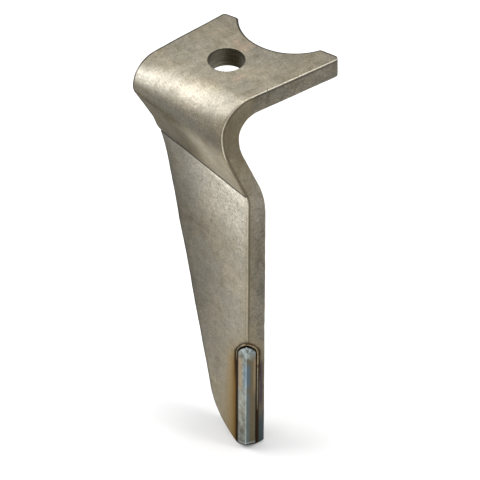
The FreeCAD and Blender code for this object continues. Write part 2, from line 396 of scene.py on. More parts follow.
def loopOf(rows, columns):
    # (row, column) indices round a block, first along its first row
    i0, i1 = rows
    j0, j1 = columns
    first = [(i0, j) for j in range(j0, j1 + 1)]
    second = [(i, j1) for i in range(i0 + 1, i1 + 1)]
    third = [(i1, j) for j in range(j1 - 1, j0 - 1, -1)]
    fourth = [(i, j0) for i in range(i1 - 1, i0, -1)]
    return np.array(first + second + third + fourth)


def unit(vectors):
    return vectors / np.linalg.norm(vectors, axis=-1)[..., None]


def planeWaves(points, wavelength, count, seed):
    # sum of cosines of random directions and phases, each about one wavelength long,
    # scaled to a spread of about one
    chance = np.random.default_rng(seed)
    directions = unit(chance.normal(size=(count, 3)))
    rates = 2 * np.pi / (wavelength * chance.uniform(0.7, 1.5, count))
    phases = chance.uniform(0, 2 * np.pi, count)
    total = np.cos(points @ (directions * rates[:, None]).T + phases).sum(1)
    return total * math.sqrt(2 / count)


def meshFromGrid(name, points, quads, **shares):
    # a mesh object in metres from millimetre points and four-cornered faces; each share is
    # one number a point, kept as an attribute for the material
    mesh = bpy.data.meshes.new(name)
    mesh.from_pydata((points * mm).tolist(), [], quads.tolist())
    mesh.update()
    mesh.polygons.foreach_set("use_smooth", np.ones(len(mesh.polygons), bool))
    for shareName, values in shares.items():
        mesh.attributes.new(shareName, "FLOAT", "POINT").data.foreach_set("value", values)
    piece = bpy.data.objects.new(name, mesh)
    bpy.context.scene.collection.objects.link(piece)
    return piece


def rowBridges(ids):
    # quads between the rows of a grid of vertex numbers whose columns go round a loop
    after = np.roll(ids, -1, 1)
    quads = np.stack([ids[:-1], after[:-1], after[1:], ids[1:]], -1)
    return quads.reshape(-1, 4)


def bridge(first, second):
    # quads between two closed loops of vertex numbers, turned with the first loop on the left
    return np.stack([first, np.roll(first, -1), np.roll(second, -1), second], 1)


def buildForging():
    radius = forging["edgeRadius"]
    steps = forging["arcSteps"]
    top = skinGrid(0, radius)
    under = skinGrid(1, radius)
    rows, columns = top.shape[:2]
    topId = np.arange(rows * columns).reshape(rows, columns)
    underId = topId + rows * columns
    points = [top.reshape(-1, 3), under.reshape(-1, 3)]
    used = 2 * rows * columns
    counts = forging["rows"]
    aboveCrease = ("flange", "strip", "bend", "sweep", "neck")
    creaseRow = sum(counts[k] for k in aboveCrease) + counts["crease"] // 2
    step = np.linalg.norm(np.diff(top, axis=0), axis=2)
    down = np.concatenate([np.zeros((1, columns)), np.cumsum(step, axis=0)])
    down = down - down[creaseRow]
    rimShare = [np.zeros(rows * columns), np.ones(rows * columns)]
    creaseShare = [down.reshape(-1), down.reshape(-1)]
    # place of each row in its stretch: flange -1 to 0, strip 0 to 1, bend 1 to 2 and so on
    edges = np.cumsum([0] + [counts[k] for k in counts])
    rowPlace = np.interp(np.arange(rows), edges, np.arange(len(edges)) - 1.0)
    rowPlace = rowPlace[:, None].repeat(columns, 1)
    acrossPlace = np.linspace(0, 1, columns)[None].repeat(rows, 0)
    placeShare = [rowPlace.reshape(-1), rowPlace.reshape(-1)]
    acrossShare = [acrossPlace.reshape(-1), acrossPlace.reshape(-1)]
    # distance from the skin's edge, along the grid lines
    sideways = np.linalg.norm(np.diff(top, axis=1), axis=2)
    fromLead = np.concatenate([np.zeros((rows, 1)), np.cumsum(sideways, axis=1)], 1)
    fromEnd = down - down[0]
    inwards = np.minimum(np.minimum(fromLead, fromLead[:, -1:] - fromLead),
                         np.minimum(fromEnd, fromEnd[-1:] - fromEnd))
    edgeShare = [inwards.reshape(-1), inwards.reshape(-1)]

    # block of cells round the bolt hole, left out of both skins
    reach = np.linalg.norm(top[:forging["rows"]["flange"], :, :2], axis=2)
    near = reach < forging["holeRadius"] + 0.9
    nearRows = np.nonzero(near.any(1))[0]
    nearColumns = np.nonzero(near.any(0))[0]
    blockRows = (nearRows[0] - 1, nearRows[-1] + 1)
    blockColumns = (nearColumns[0] - 1, nearColumns[-1] + 1)
    keep = np.ones((rows - 1, columns - 1), bool)
    keep[blockRows[0]:blockRows[1], blockColumns[0]:blockColumns[1]] = False
    corners = np.stack([topId[:-1, :-1], topId[:-1, 1:], topId[1:, 1:], topId[1:, :-1]], -1)[keep]
    quads = [corners, (corners + rows * columns)[:, ::-1]]

    # rim: quarter-round off each skin, then a flat side between them
    rim = loopOf((0, rows - 1), (0, columns - 1))
    loopsA = top[rim[:, 0], rim[:, 1]]
    loopsB = under[rim[:, 0], rim[:, 1]]
    normals = []
    for grid, sign in ((top, 1), (under, -1)):
        dv = np.gradient(grid, axis=1)
        du = np.gradient(grid, axis=0)
        normals.append(sign * unit(np.cross(dv, du))[rim[:, 0], rim[:, 1]])
    arcs = []
    for loop, normal, sign in ((loopsA, normals[0], 1), (loopsB, normals[1], -1)):
        tangent = unit(np.roll(loop, -1, 0) - np.roll(loop, 1, 0))
        outward = sign * unit(np.cross(tangent, normal))
        turn = np.radians(90 * np.arange(1, steps + 1) / steps)[:, None, None]
        arcs.append(loop + radius * (outward * np.sin(turn) - normal * (1 - np.cos(turn))))
    flat = np.linspace(0, 1, forging["rimRows"] + 1)[1:-1, None, None]
    middle = arcs[0][-1] * (1 - flat) + arcs[1][-1] * flat
    rings = np.concatenate([arcs[0], middle, arcs[1][::-1]])
    ringId = used + np.arange(rings.shape[0] * rings.shape[1]).reshape(rings.shape[:2])
    used += ringId.size
    points.append(rings.reshape(-1, 3))
    travel = np.cumsum(np.linalg.norm(np.diff(rings, axis=0), axis=2), axis=0)
    travel = np.concatenate([np.zeros((1, travel.shape[1])), travel])
    rimShare.append((travel / travel[-1]).reshape(-1))
    creaseShare.append(np.tile(down[rim[:, 0], rim[:, 1]], len(rings)))
    placeShare.append(np.tile(rowPlace[rim[:, 0], rim[:, 1]], len(rings)))
    acrossShare.append(np.tile(acrossPlace[rim[:, 0], rim[:, 1]], len(rings)))
    edgeShare.append(np.zeros(rings.shape[0] * rings.shape[1]))
    ladder = [topId[rim[:, 0], rim[:, 1]], *ringId, underId[rim[:, 0], rim[:, 1]]]
    for first, second in zip(ladder[:-1], ladder[1:]):
        quads.append(bridge(first, second)[:, ::-1])

    # hole: rings from the block to the circle, round its edge, down the wall and back
    block = loopOf(blockRows, blockColumns)
    soft = forging["holeEdgeRadius"]
    level = forging["flangeThickness"]
    start = top[block[:, 0], block[:, 1]][:, :2]
    angle = np.arctan2(start[:, 1], start[:, 0])
    ray = np.stack([np.cos(angle), np.sin(angle)], 1)
    holeRings = []
    for t in (0.3, 0.6, 0.82):
        plan = start * (1 - t) + ray * (forging["holeRadius"] + soft) * t
        holeRings.append(np.concatenate([plan, np.zeros((len(plan), 1))], 1))
    for a in np.radians(np.linspace(0, 90, steps + 1)):
        r = forging["holeRadius"] + soft * (1 - math.sin(a))
        z = -soft * (1 - math.cos(a))
        holeRings.append(np.concatenate([ray * r, np.full((len(ray), 1), z)], 1))
    half = np.array(holeRings)
    mirrored = half[::-1].copy()
    mirrored[..., 2] = -level - mirrored[..., 2]
    wall = []
    for t in np.linspace(0, 1, 12)[1:-1]:
        wall.append(half[-1] * (1 - t) + mirrored[0] * t)
    holeRings = np.concatenate([half, np.array(wall), mirrored])
    ringId = used + np.arange(holeRings.shape[0] * holeRings.shape[1]).reshape(holeRings.shape[:2])
    points.append(holeRings.reshape(-1, 3))
    rimShare.append((-holeRings[..., 2] / level).reshape(-1))
    creaseShare.append(np.full(holeRings.shape[0] * holeRings.shape[1], down.min()))
    placeShare.append(np.full(holeRings.shape[0] * holeRings.shape[1], -0.5))
    acrossShare.append(np.full(holeRings.shape[0] * holeRings.shape[1], 0.5))
    edgeShare.append(np.full(holeRings.shape[0] * holeRings.shape[1], 20.0))
    ladder = [topId[block[:, 0], block[:, 1]], *ringId, underId[block[:, 0], block[:, 1]]]
    for first, second in zip(ladder[:-1], ladder[1:]):
        quads.append(bridge(first, second))
    points = np.concatenate(points)
    quads = np.concatenate(quads)

    # vertices inside the left-out block belong to no face and are dropped
    inUse = np.zeros(len(points), bool)
    inUse[quads] = True
    number = np.cumsum(inUse) - 1
    return meshFromGrid("forgedTine", points[inUse], number[quads],
                        rimShare=np.concatenate(rimShare)[inUse],
                        creaseDistance=np.concatenate(creaseShare)[inUse] * mm,
                        stretchPlace=np.concatenate(placeShare)[inUse],
                        acrossShare=np.concatenate(acrossShare)[inUse],
                        edgeDistance=np.concatenate(edgeShare)[inUse] * mm)


forgeMarks = {
    "waveDepth": 0.1,       # long waves left by the dies
    "waveLength": 32.0,
    "dimpleDepth": 0.03,     # short dimples
    "dimpleLength": 7.0,
    "flangeShare": 0.5,      # how much of them the flatter flange keeps
    "grooveDepth": 0.3,      # groove along the crease
    "grooveWidth": 0.45,
    "tipDrop": 2.0,          # how much lower the tip is worn behind its leading corner
}


def markSurface(piece):
    # each point moves inwards along its normal by two sums of waves and the crease's groove,
    # a bell curve of the distance from the crease; none near the insert
    mesh = piece.data
    count = len(mesh.vertices)
    place = np.empty(count * 3)
    normal = np.empty(count * 3)
    crease = np.empty(count)
    rim = np.empty(count)
    stretch = np.empty(count)
    mesh.vertices.foreach_get("co", place)
    mesh.vertices.foreach_get("normal", normal)
    mesh.attributes["creaseDistance"].data.foreach_get("value", crease)
    mesh.attributes["rimShare"].data.foreach_get("value", rim)
    mesh.attributes["stretchPlace"].data.foreach_get("value", stretch)
    place = place.reshape(-1, 3) / mm
    normal = normal.reshape(-1, 3)
    waves = forgeMarks["waveDepth"] * (planeWaves(place, forgeMarks["waveLength"], 24, 11) - 1)
    waves += forgeMarks["dimpleDepth"] * planeWaves(place, forgeMarks["dimpleLength"], 48, 12)
    gap, _, _ = insertGap(place)
    waves = waves * np.clip((gap - 2) / 12, 0, 1)
    awayFromHole = np.clip((np.linalg.norm(place[:, :2], axis=1) - 11.5) / 6, 0, 1)
    offFlange = np.clip(stretch / 1.5, 0, 1)
    waves = waves * (offFlange + (1 - offFlange) * awayFromHole * forgeMarks["flangeShare"])
    groove = np.exp(-(crease / mm / forgeMarks["grooveWidth"]) ** 2) * (rim < 0.5)
    waves = waves - forgeMarks["grooveDepth"] * groove
    place = wearTip(place + normal * waves[:, None])
    mesh.vertices.foreach_set("co", (place * mm).reshape(-1))
    mesh.update()


# the hard-metal insert in the leading corner, its pocket and the braze round it

insertBar = {
    "topDrop": 181.0,
    "width": 7.6,            # along the blade's face
    "depth": 6.6,            # along the leading side
    "faceArch": 10.0,
    "edgeArch": 8.0,
    "stand": 0.4,            # how far it stands proud of the steel
    "ridgeRadius": 1.1,
    "cornerRadius": 0.8,
    "endRadius": 0.7,
    "fold": 1.6,             # rounding of its top edge
    "crown": 0.25,           # how far its two outer faces bulge
    "stepsPerCorner": 11,
    "archRows": 40,
    "lowerRows": 70,
}
pocketCut = {"rise": 1.5, "side": 0.42, "reach": 6.0}
brazeBead = {
    "radius": 0.6,
    "offset": 0.75,          # from the pocket's mouth to the bead's middle
    "faceEnd": 19.0,         # how far down the face it tapers out
    "edgeEnd": 60.0,
    "rows": 170,
    "around": 20,
}
faceWay = np.array([*heading(90 + forging["bladeTwist"]), 0.0])
edgeWay = np.array([1.0, 0.0, 0.0])
archLean = 0.77              # turns a height above the insert's sloping top into a distance


def ridgeAt(z):
    # the blade's leading outer corner at a height
    z = np.asarray(z, float)
    x = -forging["bladeSetback"] + z * leanTan
    return np.stack([x, np.full_like(z, forging["leadY"]), z], -1)


def insertGap(place):
    # distance from the insert's outline on the nearer of its two faces, and the distances
    # from the ridge along the blade's face and along the leading side
    offset = place - ridgeAt(place[:, 2])
    alongFace = offset[:, 1] / faceWay[1]
    alongEdge = offset[:, 0] - alongFace * faceWay[0]
    drop = -insertBar["topDrop"] - place[:, 2]
    gaps = []
    for along, width, arch in ((alongFace, insertBar["width"], insertBar["faceArch"]),
                               (alongEdge, insertBar["depth"], insertBar["edgeArch"])):
        # height above the sine outline, and distance past its straight side
        above = arch * 2 / np.pi * np.arcsin(np.clip(along / width, 0, 1)) - drop
        past = np.maximum(along - width, 0)
        gaps.append(np.hypot(past, archLean * np.maximum(above, 0)))
    return np.where(alongFace > alongEdge, gaps[0], gaps[1]), alongFace, alongEdge


def wearTip(place):
    # the lowest stretch sinks behind the leading corner: a smooth step of the distance along
    # the leading side, times shares of height and of the distance across
    _, _, alongEdge = insertGap(place)
    step = np.clip(alongEdge / 6, 0, 1)
    low = np.clip((-place[:, 2] - forging["overallDrop"] + 16) / 12, 0, 1) ** 2
    lead = np.clip(1.3 - (place[:, 1] - forging["leadY"]) / 10, 0, 1)
    sink = forgeMarks["tipDrop"] * step * step * (3 - 2 * step) * low * lead
    worn = place.copy()
    worn[:, 2] -= sink
    return worn


def archShare(drop, arch):
    # share of the full width at a distance below the top: a quarter sine wave, then straight
    return np.sin(np.pi / 2 * np.clip(np.asarray(drop, float) / arch, 0, 1))


def roundedSection(corners, radii, steps):
    # loop round four corners, each rounded by a quarter circle of its own radius
    loop = []
    for k, corner in enumerate(corners):
        before = unit(corners[k - 1] - corner)
        after = unit(corners[(k + 1) % 4] - corner)
        angle = np.radians(np.linspace(0, 90, steps))[:, None]
        centre = corner + (before + after) * radii[k]
        loop.append(centre - after * radii[k] * np.cos(angle) - before * radii[k] * np.sin(angle))
    return np.concatenate(loop)


def tipZ(y):
    # height of the tip's outline at a distance across
    outline, _ = sideOutline(0)
    low = outline[outline[:, 1] < -forging["overallDrop"] + 12][::-1]
    return np.interp(y, low[:, 0], low[:, 1])


def barLoops(width, depth, stand, faceArch, edgeArch, radii, crown, fold, steps):
    # loops of a round-topped bar as (face, edge, drop): four-sided sections with rounded
    # corners, as wide as the two outlines are at that drop
    turn = np.linspace(0, np.pi / 2, insertBar["archRows"])
    drops = np.concatenate([faceArch * (1 - np.cos(turn)),
                            faceArch + np.linspace(0, 1, insertBar["lowerRows"] + 1)[1:] * 80])
    loops = []
    for drop in drops:
        low = -stand
        if fold:
            low += fold * (1 - math.sqrt(1 - (1 - min(drop / fold, 1)) ** 2))
        w = max(width * archShare(drop, faceArch), low + 0.05)
        d = max(depth * archShare(drop, edgeArch), low + 0.05)
        small = min(w - low, d - low) * 0.48
        corners = np.array([[low, low], [w, low], [w, d], [low, d]])
        loop = roundedSection(corners, [min(r, small) for r in radii], steps)
        share = np.clip((loop - low) / (w - low, d - low), 0, 1)
        bulge = crown * archShare(drop, faceArch) * np.sin(np.pi * share)
        outer = np.clip(1 - np.abs(loop - low) / 0.4, 0, 1)
        loop = loop - bulge[:, ::-1] * outer
        loops.append(np.concatenate([loop, np.full((len(loop), 1), drop)], 1))
    return np.array(loops)


def placeBar(loops, top, flush):
    # (face, edge, drop) to object space; below the arch a flush bar is stretched to the tip
    face, edge, drop = loops[..., 0], loops[..., 1], loops[..., 2]
    arch = insertBar["faceArch"]
    if flush:
        end = top - tipZ(forging["leadY"] + face * faceWay[1])
        drop = np.where(drop > arch, arch + (drop - arch) / 80 * (end - arch), drop)
    z = top - drop
    return ridgeAt(z) + face[..., None] * faceWay + edge[..., None] * edgeWay


def closedTube(name, points, **shares):
    # loops joined by quads, with a fan at each end; its faces are then turned outwards
    rows, columns = points.shape[:2]
    ids = np.arange(rows * columns).reshape(rows, columns)
    flat = np.concatenate([points.reshape(-1, 3), [points[0].mean(0), points[-1].mean(0)]])
    fans = [np.stack([np.roll(ids[row], -1), ids[row], np.full(columns, rows * columns + end)], 1)
            for end, row in enumerate((0, -1))]
    mesh = bpy.data.meshes.new(name)
    faces = rowBridges(ids).tolist() + np.concatenate(fans).tolist()
    mesh.from_pydata((flat * mm).tolist(), [], faces)
    mesh.update()
    mesh.polygons.foreach_set("use_smooth", np.ones(len(mesh.polygons), bool))
    for shareName, values in shares.items():
        padded = np.concatenate([values.reshape(-1), values[0, :1], values[-1, :1]])
        mesh.attributes.new(shareName, "FLOAT", "POINT").data.foreach_set("value", padded)
    work = bmesh.new()
    work.from_mesh(mesh)
    bmesh.ops.recalc_face_normals(work, faces=work.faces)
    work.to_mesh(mesh)
    work.free()
    piece = bpy.data.objects.new(name, mesh)
    bpy.context.scene.collection.objects.link(piece)
    return piece


def buildInsert():
    s = insertBar
    radii = [s["ridgeRadius"], s["cornerRadius"], 0.5, s["cornerRadius"]]
    loops = barLoops(s["width"], s["depth"], s["stand"], s["faceArch"], s["edgeArch"], radii,
                     s["crown"], s["fold"], s["stepsPerCorner"])
    points = placeBar(loops, -s["topDrop"], True)
    endShare = points[..., 2] - tipZ(points[..., 1])
    points = wearTip(points.reshape(-1, 3)).reshape(points.shape)
    # lower end: the last loops move up by the end radius, then turn inwards in a quarter circle
    middle = points[-1].mean(0)
    inwards = unit(middle - points[-1])
    points[-1, :, 2] += s["endRadius"]
    rings = []
    for a in np.radians(np.linspace(0, 90, 6)[1:]):
        ring = points[-1] + inwards * s["endRadius"] * (1 - math.cos(a))
        ring[:, 2] -= s["endRadius"] * math.sin(a)
        rings.append(ring)
    points = np.concatenate([points, rings])
    loops = np.concatenate([loops, loops[-1:].repeat(len(rings), 0)])
    endShare = np.concatenate([endShare, np.zeros((len(rings), loops.shape[1]))])
    return closedTube("hardMetalInsert", points, faceSide=loops[..., 0] * mm,
                      edgeSide=loops[..., 1] * mm, endDistance=endShare * mm)


def buildPocketCutter():
    s = insertBar
    p = pocketCut
    loops = barLoops(s["width"] + p["side"], s["depth"] + p["side"], p["reach"],
                     s["faceArch"] + p["rise"], s["edgeArch"] + p["rise"],
                     [0.1, 0.1, 0.6, 0.1], 0, 0, 4)
    loops[..., 2] *= 1.05
    return closedTube("pocketCutter", placeBar(loops, -s["topDrop"] + p["rise"], False))


def cutPocket(piece, cutter):
    step = piece.modifiers.new("pocket", "BOOLEAN")
    step.operation = "DIFFERENCE"
    step.solver = "EXACT"
    step.object = cutter
    graph = bpy.context.evaluated_depsgraph_get()
    mesh = bpy.data.meshes.new_from_object(piece.evaluated_get(graph), depsgraph=graph)
    piece.modifiers.clear()
    piece.data = mesh
    bpy.data.objects.remove(cutter)
    mesh.set_sharp_from_angle(angle=math.radians(38))


def buildBead():
    # tube along the pocket's mouth: its outline laid flat (blade's face to the left, leading
    # side to the right), moved outwards, smoothed and folded back over the ridge
    s = insertBar
    b = brazeBead
    p = pocketCut
    arch = np.array([s["faceArch"], s["edgeArch"]]) + p["rise"]
    turn = np.linspace(0, 1, 60)
    faceDrop = np.concatenate([np.linspace(b["faceEnd"], arch[0], 30)[:-1], arch[0] * (1 - turn)])
    edgeDrop = np.concatenate([arch[1] * turn, np.linspace(arch[1], b["edgeEnd"], 60)[1:]])
    left = np.stack([-(s["width"] + p["side"]) * archShare(faceDrop, arch[0]), -faceDrop], 1)
    right = np.stack([(s["depth"] + p["side"]) * archShare(edgeDrop, arch[1]), -edgeDrop], 1)
    run = sampleRun(np.concatenate([left, right[1:]]), np.linspace(0, 1, b["rows"]))
    run = offsetRun(run, b["offset"])
    for _ in range(12):
        run[1:-1] = (run[:-2] + run[1:-1] * 2 + run[2:]) / 4
    z = run[:, 1] - s["topDrop"] + p["rise"]
    face = np.maximum(-run[:, 0], 0)[:, None]
    edge = np.maximum(run[:, 0], 0)[:, None]
    path = ridgeAt(z) + face * faceWay + edge * edgeWay
    mix = np.clip(run[:, :1] / 3 + 0.5, 0, 1)
    tangent = unit(np.gradient(path, axis=0))
    outward = np.array([-faceWay[1], faceWay[0], 0.0]) * (1 - mix) + np.array([0.0, -1.0, 0.0]) * mix
    side = unit(np.cross(tangent, outward))
    outward = unit(np.cross(side, tangent))
    share = lengthAlong(path) / lengthAlong(path)[-1]
    grow = np.clip(share / 0.2, 0, 1) ** 0.7 * np.clip((1 - share) / 0.55, 0, 1) ** 0.7
    radius = b["radius"] * grow * (1 + 0.1 * planeWaves(path, 4.0, 12, 5)) + 0.02
    sunk = 0.1 + 0.35 * np.exp(-(run[:, :1] / 1.5) ** 2)
    angle = np.linspace(0, 2 * np.pi, b["around"], endpoint=False)[None, :, None]
    ring = side[:, None] * np.cos(angle) + outward[:, None] * np.sin(angle) * 0.7
    points = (path - outward * sunk)[:, None] + ring * radius[:, None, None]
    crest = np.sin(angle[..., 0]).repeat(len(points), 0)
    along = share[:, None].repeat(b["around"], 1)
    return closedTube("brazeBead", points, alongShare=along, crestShare=crest)


body = buildForging()
markSurface(body)
print("forging:", len(body.data.polygons), "faces")
cutPocket(body, buildPocketCutter())
print("pocket cut:", len(body.data.polygons), "faces")
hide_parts("tine_body")
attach(body, "root")

insert = buildInsert()
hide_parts("carbide_insert")
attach(insert, "root")
print("insert:", len(insert.data.polygons), "faces")

bead = buildBead()
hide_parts("braze_seam")
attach(bead, "root")
print("braze:", len(bead.data.polygons), "faces")


# materials: patterns read Object coordinates or the pieces' own attributes

def tone(red, green, blue):
    # a colour as seen on a screen, 0 to 255, as the shader wants it
    channels = np.array([red, green, blue]) / 255
    return tuple(float(c) for c in np.where(channels <= 0.04045, channels / 12.92,
                                            ((channels + 0.055) / 1.055) ** 2.4))


def grey(factor):
    # a factor for all three channels, or three factors as they are
    return factor if isinstance(factor, tuple) else (factor, factor, factor)


class Finish:
    # a material with short calls for its nodes; a value is a number, a colour or a socket

    def __init__(self, name):
        self.material = bpy.data.materials.new(name)
        self.material.use_nodes = True
        self.tree = self.material.node_tree
        self.shader = self.tree.nodes["Principled BSDF"]
        self.place = self.node("ShaderNodeTexCoord").outputs["Object"]
        parts = self.node("ShaderNodeSeparateXYZ", {0: self.place})
        self.x, self.y, self.z = parts.outputs

    def node(self, kind, values=None, **settings):
        made = self.tree.nodes.new(kind)
        for key, value in settings.items():
            setattr(made, key, value)
        for socket, value in (values or {}).items():
            self.feed(made.inputs[socket], value)
        return made

    def feed(self, socket, value):
        if isinstance(value, bpy.types.NodeSocket):
            self.tree.links.new(value, socket)
        elif isinstance(value, tuple) and len(socket.default_value) == 4:
            socket.default_value = (*value, 1)
        else:
            socket.default_value = value

    def maths(self, kind, *values):
        return self.node("ShaderNodeMath", dict(enumerate(values)), operation=kind).outputs[0]

    def product(self, *values):
        total = values[0]
        for value in values[1:]:
            total = self.maths("MULTIPLY", total, value)
        return total

    def length(self, first, second):
        # root of the sum of two squares
        squares = self.maths("ADD", self.product(first, first), self.product(second, second))
        return self.maths("SQRT", squares)

    def opposite(self, share):
        return self.maths("SUBTRACT", 1.0, share)

    def rise(self, value, low, high):
        # 0 below low, 1 above high, smooth between; falls instead when low is above high
        if low > high:
            return self.opposite(self.rise(value, high, low))
        return self.node("ShaderNodeMapRange", {0: value, 1: low, 2: high},
                         interpolation_type="SMOOTHSTEP").outputs[0]

    def hill(self, value, middle, width):
        # 1 at the middle, falling smoothly to 0 one width away on both sides
        away = self.maths("ABSOLUTE", self.maths("SUBTRACT", value, middle))
        return self.rise(away, width, 0.0)

    def noise(self, scale, seed, detail=3.0, roughness=0.55, stretch=None):
        where = self.place
        if stretch:
            where = self.node("ShaderNodeMapping", {0: where, 3: stretch}).outputs[0]
        return self.node("ShaderNodeTexNoise", {"Vector": where, "W": float(seed), "Scale": scale,
                                                "Detail": detail, "Roughness": roughness},
                         noise_dimensions="4D").outputs[0]

    def mix(self, share, first, second, mode="MIX"):
        made = self.node("ShaderNodeMix", {0: share, 6: first, 7: second},
                         data_type="RGBA", blend_type=mode)
        return made.outputs[2]

    def attribute(self, name):
        return self.node("ShaderNodeAttribute", attribute_name=name).outputs["Fac"]

    def near(self, spot, inner, outer):
        # 1 within the inner radius of a spot given in metres, 0 past the outer one
        gap = self.node("ShaderNodeVectorMath", {0: self.place, 1: spot}, operation="DISTANCE")
        return self.rise(gap.outputs["Value"], outer, inner)

    def cover(self, places, where):
        # product of what each entry gives: a share by its name alone, a place with the two
        # values between which it rises, or a place with a middle, a width and "hill"
        shares = []
        for name, *limits in where:
            if not limits:
                shares.append(places[name])
            elif limits[-1] == "hill":
                shares.append(self.hill(places[name], *limits[:-1]))
            else:
                shares.append(self.rise(places[name], *limits))
        return self.product(*shares)

    def lay(self, colour, strokes, tones, places):
        # strokes of (tone, amount, where ...) one over the other: "dim" multiplies by the
        # amount, "between" by factors from the first to the second, a filter by its tone, and
        # any other tone is mixed in
        for name, amount, *where in strokes:
            share = self.cover(places, where)
            if name == "dim":
                colour = self.mix(share, colour, grey(amount), "MULTIPLY")
            elif name == "between":
                factor = self.mix(share, grey(amount[0]), grey(amount[1]))
                colour = self.mix(1.0, colour, factor, "MULTIPLY")
            else:
                share = share if amount == 1 else self.product(share, amount)
                mode = "MULTIPLY" if name in tones["filters"] else "MIX"
                colour = self.mix(share, colour, tones[name], mode)
        return colour

    def bump(self, height, distance):
        made = self.node("ShaderNodeBump", {"Height": height, "Distance": distance})
        self.feed(self.shader.inputs["Normal"], made.outputs[0])

    def finish(self, colour, roughness, metallic):
        self.feed(self.shader.inputs["Base Color"], colour)
        self.feed(self.shader.inputs["Roughness"], roughness)
        self.shader.inputs["Metallic"].default_value = metallic
        return self.material


# forged steel. Its places are x, y, z, crease and edge in metres; rim, 0 on the outer skin and
# 1 on the inner; across, 0 at the leading side and 1 at the trailing one; and stretch, which
# runs -1 to 0 on the flange, to 1 on the strip, 2 bend, 3 sweep, 4 neck, 6 crease, 7 tip

steelTones = {
    "base": tone(152, 144, 126),
    "cool": tone(143, 138, 125),
    "pink": tone(165, 148, 134),
    "olive": tone(124, 115, 92),
    "rust": tone(168, 146, 126),
    # the next tone paints highlights and painted light: the bend's band and glint, the blade's lit
    # leading corner and lip, the leading side's knee, and the leading corner's line, which is partly
    # wear
    "worn": tone(236, 230, 216),
    "pit": tone(78, 70, 56),
    "stain": tone(178, 158, 132),
    "warm": tone(255, 248, 226),
    "filters": ("stain", "warm"),
    "holeDark": tone(84, 80, 68),
    "holeLight": tone(112, 107, 92),
}
steelSurface = {
    "metallic": 0.82,
    "roughness": (0.44, 0.52),
    "roughNoise": (0.3, 0.7),
    "mirrorTint": (0.85, 0.34),      # tint of grazing light, on clean and on dull steel
    "bumpDepth": 0.0002,
    "bumpMix": (0.4, 0.6),           # shares of the medium noise and of the grain
}
steelNoises = {
    # name: (scale, seed, detail, roughness, stretch)
    "cloud": (42, 1),
    "blush": (70, 3),
    "film": (85, 5),
    "grain": (950, 7, 4.0, 0.75),
    "medium": (190, 6, 4.0, 0.6),
    "speckle": (560, 16, 5.0, 0.75),
    "streak": (260, 14, 3.0, 0.6, (1.0, 1.0, 0.12)),
    "sidePatch": (60, 51),
    "brushA": (420, 41, 3.0, 0.6, (1.0, 0.12, 1.0)),
    "brushB": (420, 42, 3.0, 0.6, (0.12, 1.0, 0.3)),
    "pits": (520, 9, 2.0),
    "scars": (640, 62, 3.0, 0.7),
    "blots": (48, 63, 4.0, 0.7),
    "turning": (900, 21, 2.0, 0.5, (0.08, 0.08, 1.0)),
    "ripple": (160, 31),
}
rustSpots = [
    # spot on the flange, inner and outer radius
    ((0.016, 0.0055, 0), 0.002, 0.012),
    ((-0.005, -0.0165, 0), 0.001, 0.008),
]
steelShares = {
    "skin": [("rim", 0.06, 0.0)],
    "shine": [("skin",), ("later", 1.0, 1.38), ("later", 1.75, 1.46)],
    "neck": [("skin",), ("stretch", 2.0, 2.8), ("stretch", 4.5, 4.25)],
    "blade": [("stretch", 4.2, 4.6), ("rim", 0.04, 0.0)],
    "lip": [("blade",), ("crease", 0.001, 0.0018), ("across", 0.62, 0.3), ("lipPlace", 1.3, 0.3)],
    "lead": [("y", -0.0335, -0.0355)],
    "side": [("rim", 0.06, 0.11), ("rim", 0.97, 0.9), ("lead",)],
    "besideNeck": [("stretch", 2.7, 3.2), ("stretch", 4.6, 4.2)],
    "holeWall": [("radius", 0.0109, 0.0106), ("z", -0.0145, -0.0135)],
}
shineSlant = -0.22               # moves the bend's painted highlight band on towards the trailing side
lipReach = (0.007, 0.002)        # how far the lip's painted highlight reaches at the leading side, and the rest
# fade of the painted highlight along the leading corner, with height
cornerFade = {"from": -0.07, "to": -0.12, "loss": -0.6}
kneeLight = [
    # (amount, where): painted light on parts of the leading side
    (1.0, ("z", -0.075, 0.035, "hill")),
    (0.3, ("x", 0.0, 0.03)),
    (0.45, ("z", -0.13, -0.165)),
]
mediumMottle = {
    # factors at the noise's dark and light ends, on plain and on shining steel
    "dark": ((0.62, 0.61, 0.58), (0.82, 0.81, 0.79)),
    "light": (1.37, 1.18),
}
